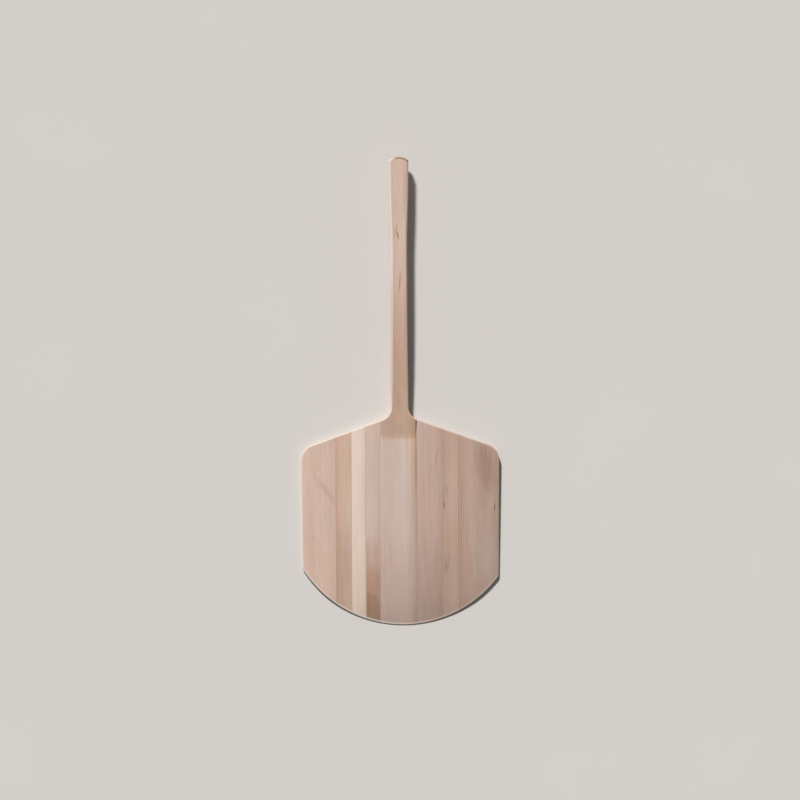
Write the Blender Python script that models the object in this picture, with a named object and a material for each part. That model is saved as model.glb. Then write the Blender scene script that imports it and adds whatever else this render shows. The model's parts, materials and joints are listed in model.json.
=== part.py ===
"""A wooden pizza peel: nine boards edge-glued into a thin blade, the middle board running on as the handle.

Metres, +Z up. The peel lies on the blade's flat underside at z = 0 with the handle pointing along +Y,
clear of the ground, and the origin is under the middle of its length. Plan points are complex numbers,
x + y*1j, and y in the plan is counted from the tip of the front edge until the objects are placed.
"""

import cmath
import math

import bmesh
import bpy

# ---- plan ---------------------------------------------------------------------------------------
OVERALL_LENGTH = 1.0668  # 42 in
BLADE_WIDTH = 0.4535  # at the shoulders, from where the sides draw in a little
FRONT_WIDTH = 0.449
FRONT_CROWN_RADIUS = 0.271  # the curve of the front edge
FRONT_CROWN_OFFSET = 0.0065  # its tip lies a little right of the handle's line
FRONT_CORNER_RADIUS = 0.014
SHOULDER_AT = 0.4022  # where the side and the shoulder would meet if they weren't rounded
SHOULDER_SLOPE = math.radians(19.6)
SHOULDER_RADIUS = 0.038
NECK_RADIUS = 0.030

NECK_WIDTH = 0.0404
WAIST_WIDTH = 0.0375
GRIP_WIDTH = 0.0445
NECK_TAPER = (0.505, 0.740)  # the handle narrows from neck to waist over this stretch
GRIP_FLARE = (0.862, 1.005)  # and widens from waist to grip over this one
BUTT_CROWN_RADIUS = 0.034  # the curve of the handle's free end
BUTT_CORNER_RADIUS = 0.006

# ---- side profile -------------------------------------------------------------------------------
FRONT_EDGE_THICKNESS = 0.0020
LEAD_IN = 0.0655  # the front bevel ends here
LEAD_IN_THICKNESS = 0.0060
SHOULDER_THICKNESS = 0.0142
HANDLE_TOP = 0.0380  # the handle board is sawn from 1 1/2 in stock
HANDLE_UNDERSIDE = 0.0170  # the handle stands this far above what the blade lies on
RAMP_FOOT = 0.4240  # the handle's top runs down in one long curve and meets the blade here
RAMP_TOP = 0.770
UNDERSIDE_LIFT = (0.470, 0.770)  # the underside rises from the blade's to the handle's over this stretch

# ---- rounded edges, by how far they reach in from the outline -----------------------------------
BLADE_EDGE_REACH = 0.0030
THIN_EDGE_REACH_SHARE = 1.0  # of the thickness, where the blade is thin
EDGE_RISE_SHARE = 0.42  # a rounded edge takes up this share of the thickness at most
HANDLE_EDGE_REACH = 0.0062
BUTT_EDGE_REACH = 0.0030
EDGE_BLEND = (0.470, 0.560)  # the rounding grows from the blade's to the handle's
BUTT_BLEND = (1.050, 1.066)

# ---- boards, from the left edge to the right, with the width of each ----------------------------
BOARDS = (
    ("left_stave_4", 0.0791, "rosy"),
    ("left_stave_3", 0.0362, "tan"),
    ("left_stave_2", 0.0322, "cream"),
    ("left_stave_1", 0.0330, "beige"),
    ("handle_board", 0.0829, "beige"),
    ("right_stave_1", 0.0593, "rosy"),
    ("right_stave_2", 0.0368, "rosy"),
    ("right_stave_3", 0.0340, "rosy"),
    ("right_stave_4", 0.0595, "brown"),
)
GLUE_GAP = 0.00030
GLUE_THICKNESS = 0.00026  # the rest of the gap keeps a film from sharing a plane with its boards
BLANK_TRIM = 0.006  # a rough board's allowance beyond the finished outline
STAVE_BLANK_LENGTH = 0.480

# ---- how finely curves are divided, and which edges stay crisp ----------------------------------
FRONT_STEPS = 22
CORNER_STEPS = 4
SHOULDER_STEPS = 9
NECK_STEPS = 8
TAPER_STEPS = 6
BUTT_STEPS = 6
EDGE_STEPS = 4
RAMP_STEPS = 10
LIFT_STEPS = 10
CREASE_PLACES = 6  # decimals, so that creases above and below that share a place become one
CRISP_ANGLE = math.radians(30)

# ---- finishes: linear base colour and roughness -------------------------------------------------
FINISHES = {
    "cream": ((0.66, 0.58, 0.48), 0.62),
    "beige": ((0.56, 0.46, 0.37), 0.62),
    "rosy": ((0.53, 0.40, 0.32), 0.64),
    "tan": ((0.52, 0.42, 0.31), 0.64),
    "brown": ((0.42, 0.31, 0.24), 0.66),
    "glue": ((0.36, 0.25, 0.15), 0.45),
}


def smooth_blend(start, end, span, at):
    """A value that eases from start to end while at runs through span."""
    share = min(max((at - span[0]) / (span[1] - span[0]), 0.0), 1.0)
    return start + (end - start) * share * share * (3 - 2 * share)


def steps_between(start, end, count):
    return [start + (end - start) * step / count for step in range(count + 1)]


def crowned_end(half_width, crown_radius, corner_radius, crown_steps):
    """The right half of a curved end with rounded corners, from its tip at 0 to its straight side."""
    corner_x = half_width - corner_radius
    reach = crown_radius - corner_radius
    corner_centre = complex(corner_x, crown_radius - math.sqrt(reach**2 - corner_x**2))
    meeting = math.asin(corner_x / reach)
    crown = [
        crown_radius * 1j - crown_radius * 1j * cmath.exp(angle * 1j)
        for angle in steps_between(0, meeting, crown_steps)
    ]
    corner = [
        corner_centre - corner_radius * 1j * cmath.exp(angle * 1j)
        for angle in steps_between(meeting, math.pi / 2, CORNER_STEPS)
    ]
    return crown + corner[1:]


def rounded_corner(before, corner, after, radius, count):
    """The arc that replaces a corner between two straight lines."""
    heading = (corner - before) / abs(corner - before)
    turn = cmath.phase((after - corner) / heading)
    start = corner - heading * radius * math.tan(abs(turn) / 2)
    centre = start + heading * radius * math.copysign(1, turn) * 1j
    return [centre + (start - centre) * cmath.exp(angle * 1j) for angle in steps_between(0, turn, count)]


def handle_half_width(at):
    waist = smooth_blend(NECK_WIDTH, WAIST_WIDTH, NECK_TAPER, at)
    return (waist + smooth_blend(0, GRIP_WIDTH - WAIST_WIDTH, GRIP_FLARE, at)) / 2


def half_outline(tip):
    """The right half of the plan, from the front edge's tip, at x = tip, to the butt's."""
    crown = crowned_end(FRONT_WIDTH / 2 - tip, FRONT_CROWN_RADIUS, FRONT_CORNER_RADIUS, FRONT_STEPS)
    front = [tip + point for point in crown]
    shoulder = complex(BLADE_WIDTH / 2, SHOULDER_AT)
    shoulder_run = (BLADE_WIDTH - NECK_WIDTH) / 2
    neck = shoulder + complex(-shoulder_run, shoulder_run * math.tan(SHOULDER_SLOPE))
    up_the_handle = neck + 1j
    butt = crowned_end(GRIP_WIDTH / 2, BUTT_CROWN_RADIUS, BUTT_CORNER_RADIUS, BUTT_STEPS)
    return (
        front
        + rounded_corner(front[-1], shoulder, neck, SHOULDER_RADIUS, SHOULDER_STEPS)
        + rounded_corner(shoulder, neck, up_the_handle, NECK_RADIUS, NECK_STEPS)
        + [complex(handle_half_width(at), at) for at in steps_between(*NECK_TAPER, TAPER_STEPS)]
        + [complex(handle_half_width(at), at) for at in steps_between(*GRIP_FLARE, TAPER_STEPS)]
        + [OVERALL_LENGTH * 1j + point.conjugate() for point in reversed(butt)]
    )


def blade_height(at):
    """The blade's thickness: a short bevel at the front, then one even wedge."""
    if at < LEAD_IN:
        return FRONT_EDGE_THICKNESS + (LEAD_IN_THICKNESS - FRONT_EDGE_THICKNESS) * at / LEAD_IN
    slope = (SHOULDER_THICKNESS - LEAD_IN_THICKNESS) / (SHOULDER_AT - LEAD_IN)
    return LEAD_IN_THICKNESS + slope * (at - LEAD_IN)


def blade_profiles():
    """The blade's underside and top seen from the side, as corners (distance from the front edge, height)."""
    flat = [(0, 0), (OVERALL_LENGTH, 0)]
    return flat, [(at, blade_height(at)) for at in (0, LEAD_IN, OVERALL_LENGTH)]


def handle_profiles():
    """The same for the middle board, whose top and underside rise to the handle's in long curves."""
    rise = HANDLE_TOP - blade_height(RAMP_FOOT)
    run = RAMP_TOP - RAMP_FOOT
    radius = (run**2 + rise**2) / (2 * rise)
    ramp = [
        (at, HANDLE_TOP - radius + math.sqrt(radius**2 - (RAMP_TOP - at) ** 2))
        for at in steps_between(RAMP_FOOT, RAMP_TOP, RAMP_STEPS)
    ]
    lift = [
        (at, smooth_blend(0, HANDLE_UNDERSIDE, UNDERSIDE_LIFT, at))
        for at in steps_between(*UNDERSIDE_LIFT, LIFT_STEPS)
    ]
    underside = [(0, 0), *lift, (OVERALL_LENGTH, HANDLE_UNDERSIDE)]
    top = [(0, blade_height(0)), (LEAD_IN, LEAD_IN_THICKNESS), *ramp, (OVERALL_LENGTH, HANDLE_TOP)]
    return underside, top


def height_on(profile, at):
    for (start, low), (end, high) in zip(profile, profile[1:]):
        if at <= end:
            return low + (high - low) * (at - start) / (end - start)
    return profile[-1][1]


def edge_reach(at):
    on_blade = min(BLADE_EDGE_REACH, THIN_EDGE_REACH_SHARE * blade_height(at))
    on_handle = smooth_blend(HANDLE_EDGE_REACH, BUTT_EDGE_REACH, BUTT_BLEND, at)
    return smooth_blend(on_blade, on_handle, EDGE_BLEND, at)


def peel_outline():
    """The whole plan, anticlockwise from the front edge's tip."""
    right = half_outline(FRONT_CROWN_OFFSET)
    left = [-point.conjugate() for point in half_outline(-FRONT_CROWN_OFFSET)]
    return right + left[-2:0:-1]


def edge_stations(outline):
    """Each outline point with its inset point, where the rounded edge runs out into the flat faces."""
    stations = []
    for previous, point, following in zip(outline[-1:] + outline, outline, outline[1:] + outline[:1]):
        along = (following - previous) / abs(following - previous)
        stations.append((point, point + along * 1j * edge_reach(point.imag)))
    return stations


def with_creases(stations, creases):
    """Adds a station wherever the inset line crosses a crease of the top or the underside."""
    result = []
    for (point, inset), (next_point, next_inset) in zip(stations, stations[1:] + stations[:1]):
        result.append((point, inset))
        shares = {(crease - inset.imag) / (next_inset.imag - inset.imag): crease for crease in creases}
        for share in sorted(share for share in shares if 0 < share < 1):
            level = complex((inset + (next_inset - inset) * share).real, shares[share])
            result.append((point + (next_point - point) * share, level))
    return result


def side_column(point, inset, base, top):
    """Points up the peel's side at one station: rounded lower edge, upright wall, rounded upper edge."""
    rise = min(abs(inset - point), EDGE_RISE_SHARE * (top - base))
    rounding = [
        (inset + (point - inset) * math.sin(angle), rise * (1 - math.cos(angle)))
        for angle in steps_between(0, math.pi / 2, EDGE_STEPS)
    ]
    lower = [(place, base + depth) for place, depth in rounding]
    upper = [(place, top - depth) for place, depth in reversed(rounding)]
    return [(place.real, place.imag - OVERALL_LENGTH / 2, height) for place, height in lower + upper]


def peel_form(name, underside, top):
    """The whole outer form of the peel between two profiles. It only serves to shape the boards."""
    creases = sorted({round(at, CREASE_PLACES) for at, _ in underside[1:-1] + top[1:-1]})
    stations = with_creases(edge_stations(peel_outline()), creases)
    mesh = bmesh.new()
    columns = []
    for point, inset in stations:
        corners = side_column(point, inset, height_on(underside, inset.imag), height_on(top, inset.imag))
        columns.append([mesh.verts.new(corner) for corner in corners])
    for column, neighbour in zip(columns, columns[1:] + columns[:1]):
        for level in range(len(column) - 1):
            mesh.faces.new((column[level], neighbour[level], neighbour[level + 1], column[level + 1]))
    for start, end in zip([0, *creases], [*creases, OVERALL_LENGTH]):
        strip = [column for column, (_, inset) in zip(columns, stations) if start <= inset.imag <= end]
        mesh.faces.new([column[-1] for column in strip])
        mesh.faces.new([column[0] for column in reversed(strip)])
    form = linked_object(name, mesh)
    form.data.shade_smooth()
    form.data.set_sharp_from_angle(angle=CRISP_ANGLE)
    form.hide_render = True
    form.display_type = "WIRE"
    return form


def linked_object(name, mesh):
    data = bpy.data.meshes.new(name)
    mesh.to_mesh(data)
    mesh.free()
    made = bpy.data.objects.new(name, data)
    bpy.context.scene.collection.objects.link(made)
    return made


def rough_blank(name, left, right, length, height, form):
    """A rectangular blank between two x positions, sawn to the part of the form that it covers."""
    mesh = bmesh.new()
    bmesh.ops.create_cube(mesh, size=1)
    sides = (right - left, length + 2 * BLANK_TRIM, height + 2 * BLANK_TRIM)
    bmesh.ops.scale(mesh, vec=sides, verts=mesh.verts[:])
    blank = linked_object(name, mesh)
    blank.location = ((left + right) / 2, (length - OVERALL_LENGTH) / 2, height / 2)
    sawn = blank.modifiers.new("sawn_to_form", "BOOLEAN")
    sawn.operation = "INTERSECT"
    sawn.solver = "EXACT"
    sawn.object = form
    return blank


def finish_object(piece, finish):
    colour, roughness = FINISHES[finish]
    material = bpy.data.materials.new(f"{piece.name}_{finish}")
    material.use_nodes = True
    shader = material.node_tree.nodes["Principled BSDF"]
    shader.inputs["Base Color"].default_value = (*colour, 1)
    shader.inputs["Roughness"].default_value = roughness
    shader.inputs["Metallic"].default_value = 0
    material.diffuse_color = (*colour, 1)
    piece.data.materials.append(material)


def make_boards(blade_form, handle_form):
    """The nine boards side by side. Only the middle one is as long and as thick as the handle."""
    seam = -sum(width for _, width, _ in BOARDS) / 2
    seams = []
    for name, width, finish in BOARDS:
        is_first = name == BOARDS[0][0]
        is_last = name == BOARDS[-1][0]
        left = seam - BLANK_TRIM if is_first else seam + GLUE_GAP / 2
        seam += width
        right = seam + BLANK_TRIM if is_last else seam - GLUE_GAP / 2
        if name == "handle_board":
            board = rough_blank(name, left, right, OVERALL_LENGTH, HANDLE_TOP, handle_form)
        else:
            board = rough_blank(name, left, right, STAVE_BLANK_LENGTH, HANDLE_TOP, blade_form)
        finish_object(board, finish)
        seams.append(seam)
    return seams[:-1]


def make_glue_lines(seams, blade_form):
    """A film of glue in each seam, sanded flush with the blade."""
    names = [name for name, _, _ in BOARDS]
    for seam, board, neighbour in zip(seams, names, names[1:]):
        outer = board if board.startswith("left") else neighbour
        film = rough_blank(
            outer.replace("stave", "glue_line"),
            seam - GLUE_THICKNESS / 2,
            seam + GLUE_THICKNESS / 2,
            STAVE_BLANK_LENGTH,
            HANDLE_TOP,
            blade_form,
        )
        finish_object(film, "glue")


def main():
    for old in list(bpy.data.objects):
        bpy.data.objects.remove(old)
    blade_form = peel_form("blade_form", *blade_profiles())
    handle_form = peel_form("handle_form", *handle_profiles())
    seams = make_boards(blade_form, handle_form)
    make_glue_lines(seams, blade_form)


main()
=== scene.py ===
"""Looks of the wooden pizza peel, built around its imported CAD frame.

Each board and each glue line is cut again from a finer form than the CAD one, with eased seams. The woods
are solid in space: growth rings, fibres and marks run through a board from its faces to its end grain.
Metres, +Z up, in the frame of the CAD. Plan points are complex numbers, x + y*1j, and y in the plan is
counted from the tip of the front edge.
"""

import cmath
import json
import math

import bmesh
import bpy
from mathutils import Euler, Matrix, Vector

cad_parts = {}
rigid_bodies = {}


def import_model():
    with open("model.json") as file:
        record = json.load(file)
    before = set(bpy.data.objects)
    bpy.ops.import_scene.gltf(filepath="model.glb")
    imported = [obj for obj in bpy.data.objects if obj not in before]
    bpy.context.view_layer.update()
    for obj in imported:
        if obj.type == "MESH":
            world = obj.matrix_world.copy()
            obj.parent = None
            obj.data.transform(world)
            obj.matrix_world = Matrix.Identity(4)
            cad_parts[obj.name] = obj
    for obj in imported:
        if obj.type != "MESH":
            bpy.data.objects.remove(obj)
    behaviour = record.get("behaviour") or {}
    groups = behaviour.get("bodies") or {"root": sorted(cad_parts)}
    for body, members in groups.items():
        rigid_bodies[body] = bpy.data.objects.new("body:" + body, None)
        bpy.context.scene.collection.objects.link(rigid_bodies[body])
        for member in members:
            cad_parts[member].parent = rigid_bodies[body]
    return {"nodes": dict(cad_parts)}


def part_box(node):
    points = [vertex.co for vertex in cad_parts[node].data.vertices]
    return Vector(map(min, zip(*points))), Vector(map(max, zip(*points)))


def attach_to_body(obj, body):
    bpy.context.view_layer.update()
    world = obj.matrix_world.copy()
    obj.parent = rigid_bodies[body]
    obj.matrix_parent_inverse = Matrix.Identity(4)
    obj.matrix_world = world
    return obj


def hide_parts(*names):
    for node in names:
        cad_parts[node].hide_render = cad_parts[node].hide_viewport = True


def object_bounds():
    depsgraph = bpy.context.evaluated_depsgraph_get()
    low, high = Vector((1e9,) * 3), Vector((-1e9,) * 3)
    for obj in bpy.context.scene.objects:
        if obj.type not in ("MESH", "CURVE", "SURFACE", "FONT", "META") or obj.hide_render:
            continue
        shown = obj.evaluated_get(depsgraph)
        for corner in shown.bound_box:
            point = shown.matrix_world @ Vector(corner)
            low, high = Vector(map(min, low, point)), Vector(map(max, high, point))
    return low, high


# ---- plan and side profile, as in the CAD --------------------------------------------------------
BLADE_WIDTH = 0.4535
FRONT_WIDTH = 0.449
FRONT_CROWN_RADIUS = 0.271
FRONT_CROWN_OFFSET = 0.0065
FRONT_CORNER_RADIUS = 0.014
SHOULDER_AT = 0.4022
SHOULDER_SLOPE = math.radians(19.6)
SHOULDER_RADIUS = 0.038
NECK_RADIUS = 0.030
NECK_WIDTH = 0.0404
WAIST_WIDTH = 0.0375
GRIP_WIDTH = 0.0445
NECK_TAPER = (0.505, 0.740)
GRIP_FLARE = (0.862, 1.005)
BUTT_CROWN_RADIUS = 0.034
BUTT_CORNER_RADIUS = 0.006
FRONT_EDGE_THICKNESS = 0.0020
LEAD_IN = 0.0655
LEAD_IN_THICKNESS = 0.0060
SHOULDER_THICKNESS = 0.0142
HANDLE_UNDERSIDE = 0.0170
RAMP_FOOT = 0.4240
RAMP_TOP = 0.770
UNDERSIDE_LIFT = (0.470, 0.770)
BLADE_EDGE_REACH = 0.0030
THIN_EDGE_REACH_SHARE = 1.0
EDGE_RISE_SHARE = 0.42
HANDLE_EDGE_REACH = 0.0062
BUTT_EDGE_REACH = 0.0030
EDGE_BLEND = (0.470, 0.560)
BUTT_BLEND = (1.050, 1.066)

# ---- fine shape that only the looks have --------------------------------------------------------
SEAM_EASE = 0.00022  # the arris along each side of a seam
RAMP_EASE_SHARE = 0.30  # where the ramp stands above its neighbours, its arris is this share of the step
RAMP_EASE_MOST = 0.0011
GLUE_RECESS = 0.00012  # how far a glue line stays back from the faces beside it
BLANK_TRIM = 0.006  # how far a board's blank runs past the outline
CUT_OVERSHOOT = 0.002  # how far it runs past the top and the underside

FRONT_STEPS = 64
CORNER_STEPS = 8
SHOULDER_STEPS = 20
NECK_STEPS = 20
TAPER_STEPS = 14
BUTT_STEPS = 16
EDGE_STEPS = 7
RAMP_STEPS = 28
LIFT_STEPS = 24
CREASE_PLACES = 6  # creases closer than a micron are one
CRISP_ANGLE = math.radians(30)  # edges sharper than this aren't smoothed in the shading
WELD = 1e-6  # corners closer than this are one


def srgb(red, green, blue):
    """A linear colour from a screen colour in 0 to 255."""
    shares = [channel / 255 for channel in (red, green, blue)]
    return tuple(s / 12.92 if s <= 0.04045 else ((s + 0.055) / 1.055) ** 2.4 for s in shares)


# ---- form ---------------------------------------------------------------------------------------
def smooth_blend(start, end, span, at):
    """A value that eases from start to end while at runs through span."""
    share = min(max((at - span[0]) / (span[1] - span[0]), 0.0), 1.0)
    return start + (end - start) * share * share * (3 - 2 * share)


def steps_between(start, end, count):
    return [start + (end - start) * step / count for step in range(count + 1)]


def crowned_end(half_width, crown_radius, corner_radius, crown_steps):
    """The right half of a curved end with rounded corners, from its tip at 0 to its straight side."""
    corner_x = half_width - corner_radius
    reach = crown_radius - corner_radius
    corner_centre = complex(corner_x, crown_radius - math.sqrt(reach**2 - corner_x**2))
    meeting = math.asin(corner_x / reach)
    crown = [
        crown_radius * 1j - crown_radius * 1j * cmath.exp(angle * 1j)
        for angle in steps_between(0, meeting, crown_steps)
    ]
    corner = [
        corner_centre - corner_radius * 1j * cmath.exp(angle * 1j)
        for angle in steps_between(meeting, math.pi / 2, CORNER_STEPS)
    ]
    return crown + corner[1:]


def rounded_corner(before, corner, after, radius, count):
    """The arc that replaces a corner between two straight lines."""
    heading = (corner - before) / abs(corner - before)
    turn = cmath.phase((after - corner) / heading)
    start = corner - heading * radius * math.tan(abs(turn) / 2)
    centre = start + heading * radius * math.copysign(1, turn) * 1j
    return [centre + (start - centre) * cmath.exp(angle * 1j) for angle in steps_between(0, turn, count)]


def handle_half_width(at):
    waist = smooth_blend(NECK_WIDTH, WAIST_WIDTH, NECK_TAPER, at)
    return (waist + smooth_blend(0, GRIP_WIDTH - WAIST_WIDTH, GRIP_FLARE, at)) / 2


def half_outline(tip, length):
    """The right half of the plan, from the front edge's tip, at x = tip, to the butt's."""
    crown = crowned_end(FRONT_WIDTH / 2 - tip, FRONT_CROWN_RADIUS, FRONT_CORNER_RADIUS, FRONT_STEPS)
    front = [tip + point for point in crown]
    shoulder = complex(BLADE_WIDTH / 2, SHOULDER_AT)
    shoulder_run = (BLADE_WIDTH - NECK_WIDTH) / 2
    neck = shoulder + complex(-shoulder_run, shoulder_run * math.tan(SHOULDER_SLOPE))
    butt = crowned_end(GRIP_WIDTH / 2, BUTT_CROWN_RADIUS, BUTT_CORNER_RADIUS, BUTT_STEPS)
    return (
        front
        + rounded_corner(front[-1], shoulder, neck, SHOULDER_RADIUS, SHOULDER_STEPS)
        + rounded_corner(shoulder, neck, neck + 1j, NECK_RADIUS, NECK_STEPS)
        + [complex(handle_half_width(at), at) for at in steps_between(*NECK_TAPER, TAPER_STEPS)]
        + [complex(handle_half_width(at), at) for at in steps_between(*GRIP_FLARE, TAPER_STEPS)]
        + [length * 1j + point.conjugate() for point in reversed(butt)]
    )


def blade_height(at):
    """The blade's thickness: a short bevel at the front, then one even wedge."""
    if at < LEAD_IN:
        return FRONT_EDGE_THICKNESS + (LEAD_IN_THICKNESS - FRONT_EDGE_THICKNESS) * at / LEAD_IN
    slope = (SHOULDER_THICKNESS - LEAD_IN_THICKNESS) / (SHOULDER_AT - LEAD_IN)
    return LEAD_IN_THICKNESS + slope * (at - LEAD_IN)


def blade_profiles(length):
    """The blade's underside and top from the side: corners of distance from the front edge and height."""
    return [(0, 0), (length, 0)], [(at, blade_height(at)) for at in (0, LEAD_IN, length)]


def handle_profiles(length, thickness):
    """The same for the middle board, whose top and underside rise to the handle's in long curves."""
    rise = thickness - blade_height(RAMP_FOOT)
    run = RAMP_TOP - RAMP_FOOT
    radius = (run**2 + rise**2) / (2 * rise)
    ramp = [
        (at, thickness - radius + math.sqrt(radius**2 - (RAMP_TOP - at) ** 2))
        for at in steps_between(RAMP_FOOT, RAMP_TOP, RAMP_STEPS)
    ]
    lift = [
        (at, smooth_blend(0, HANDLE_UNDERSIDE, UNDERSIDE_LIFT, at))
        for at in steps_between(*UNDERSIDE_LIFT, LIFT_STEPS)
    ]
    underside = [(0, 0), *lift, (length, HANDLE_UNDERSIDE)]
    top = [(0, blade_height(0)), (LEAD_IN, LEAD_IN_THICKNESS), *ramp, (length, thickness)]
    return underside, top


def height_on(profile, at):
    for (start, low), (end, high) in zip(profile, profile[1:]):
        if at <= end:
            return low + (high - low) * (at - start) / (end - start)
    return profile[-1][1]


def edge_reach(at):
    """How far the rounded edge reaches in from the outline."""
    on_blade = min(BLADE_EDGE_REACH, THIN_EDGE_REACH_SHARE * blade_height(at))
    on_handle = smooth_blend(HANDLE_EDGE_REACH, BUTT_EDGE_REACH, BUTT_BLEND, at)
    return smooth_blend(on_blade, on_handle, EDGE_BLEND, at)


def edge_stations(outline):
    """Each outline point with its inset point, where the rounded edge runs out into the flat faces."""
    stations = []
    for previous, point, following in zip(outline[-1:] + outline, outline, outline[1:] + outline[:1]):
        along = (following - previous) / abs(following - previous)
        stations.append((point, point + along * 1j * edge_reach(point.imag)))
    return stations


def with_creases(stations, creases):
    """Adds a station wherever the inset line crosses a crease of the top or the underside."""
    result = []
    for (point, inset), (next_point, next_inset) in zip(stations, stations[1:] + stations[:1]):
        result.append((point, inset))
        shares = {(crease - inset.imag) / (next_inset.imag - inset.imag): crease for crease in creases}
        for share in sorted(share for share in shares if 0 < share < 1):
            level = complex((inset + (next_inset - inset) * share).real, shares[share])
            result.append((point + (next_point - point) * share, level))
    return result


def side_column(point, inset, base, top, front):
    """Points up the peel's side at one station: rounded lower edge, upright wall, rounded upper edge."""
    rise = min(abs(inset - point), EDGE_RISE_SHARE * (top - base))
    rounding = [
        (inset + (point - inset) * math.sin(angle), rise * (1 - math.cos(angle)))
        for angle in steps_between(0, math.pi / 2, EDGE_STEPS)
    ]
    lower = [(place, base + depth) for place, depth in rounding]
    upper = [(place, top - depth) for place, depth in reversed(rounding)]
    return [(place.real, place.imag + front, height) for place, height in lower + upper]


def linked_object(name, mesh):
    data = bpy.data.meshes.new(name)
    mesh.to_mesh(data)
    mesh.free()
    made = bpy.data.objects.new(name, data)
    bpy.context.scene.collection.objects.link(made)
    return made


def peel_form(name, profiles, front):
    """The whole outer form of the peel between two profiles. The boards are cut from it."""
    underside, top = profiles
    length = top[-1][0]
    right = half_outline(FRONT_CROWN_OFFSET, length)
    left = [-point.conjugate() for point in half_outline(-FRONT_CROWN_OFFSET, length)]
    creases = sorted({round(at, CREASE_PLACES) for at, _ in underside[1:-1] + top[1:-1]})
    stations = with_creases(edge_stations(right + left[-2:0:-1]), creases)
    mesh = bmesh.new()
    columns = []
    for point, inset in stations:
        heights = (height_on(underside, inset.imag), height_on(top, inset.imag))
        columns.append([mesh.verts.new(corner) for corner in side_column(point, inset, *heights, front)])
    for column, neighbour in zip(columns, columns[1:] + columns[:1]):
        for level in range(len(column) - 1):
            mesh.faces.new((column[level], neighbour[level], neighbour[level + 1], column[level + 1]))
    for start, end in zip([0, *creases], [*creases, length]):
        strip = [column for column, (_, inset) in zip(columns, stations) if start <= inset.imag <= end]
        mesh.faces.new([column[-1] for column in strip])
        mesh.faces.new([column[0] for column in reversed(strip)])
    return linked_object(name, mesh)


def section(left, right, base, top, ease):
    """A board's cross-section with eased corners, running past the form above and below."""
    reach = ease + CUT_OVERSHOOT
    return [
        (left + reach, base - CUT_OVERSHOOT),
        (right - reach, base - CUT_OVERSHOOT),
        (right, base + ease),
        (right, top - ease),
        (right - reach, top + CUT_OVERSHOOT),
        (left + reach, top + CUT_OVERSHOOT),
        (left, top - ease),
        (left, base + ease),
    ]


def film_section(left, right, base, top, _):
    return [(left, base), (right, base), (right, top), (left, top)]


def seam_ease(at, height):
    """Fine along the glued seams, and wider where the ramp's side stands clear of its neighbours."""
    step = max(height - blade_height(at), 0)
    return min(SEAM_EASE + RAMP_EASE_SHARE * step, RAMP_EASE_MOST)


def cut_piece(name, limits, profile, form, front, outline=section, recess=0.0):
    """A blank between two x positions, shaped by one section after another, sawn to the form."""
    (left, right), (first, last) = limits
    inner = [at for at, _ in profile if first < at < last]
    mesh = bmesh.new()
    rings = []
    for at in [first, *inner, last]:
        height = height_on(profile, max(at, 0))
        corners = outline(left, right, recess, height - recess, seam_ease(at, height))
        rings.append([mesh.verts.new((x, at + front, z)) for x, z in corners])
    for ring, following in zip(rings, rings[1:]):
        for corner in range(len(ring)):
            after = (corner + 1) % len(ring)
            mesh.faces.new((ring[corner], following[corner], following[after], ring[after]))
    mesh.faces.new(rings[0])
    mesh.faces.new(rings[-1][::-1])
    bmesh.ops.recalc_face_normals(mesh, faces=mesh.faces[:])
    blank = linked_object(f"{name}_blank", mesh)
    sawn = blank.modifiers.new("sawn", "BOOLEAN")
    sawn.operation = "INTERSECT"
    sawn.solver = "EXACT"
    sawn.object = form
    evaluated = blank.evaluated_get(bpy.context.evaluated_depsgraph_get())
    cut = bmesh.new()
    cut.from_mesh(evaluated.to_mesh())
    bmesh.ops.remove_doubles(cut, verts=cut.verts[:], dist=WELD)
    bmesh.ops.dissolve_degenerate(cut, edges=cut.edges[:], dist=WELD)
    piece = linked_object(name, cut)
    bpy.data.objects.remove(blank)
    piece.data.shade_smooth()
    piece.data.set_sharp_from_angle(angle=CRISP_ANGLE)
    normals = piece.modifiers.new("even_shading", "WEIGHTED_NORMAL")
    normals.keep_sharp = True
    return piece


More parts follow.
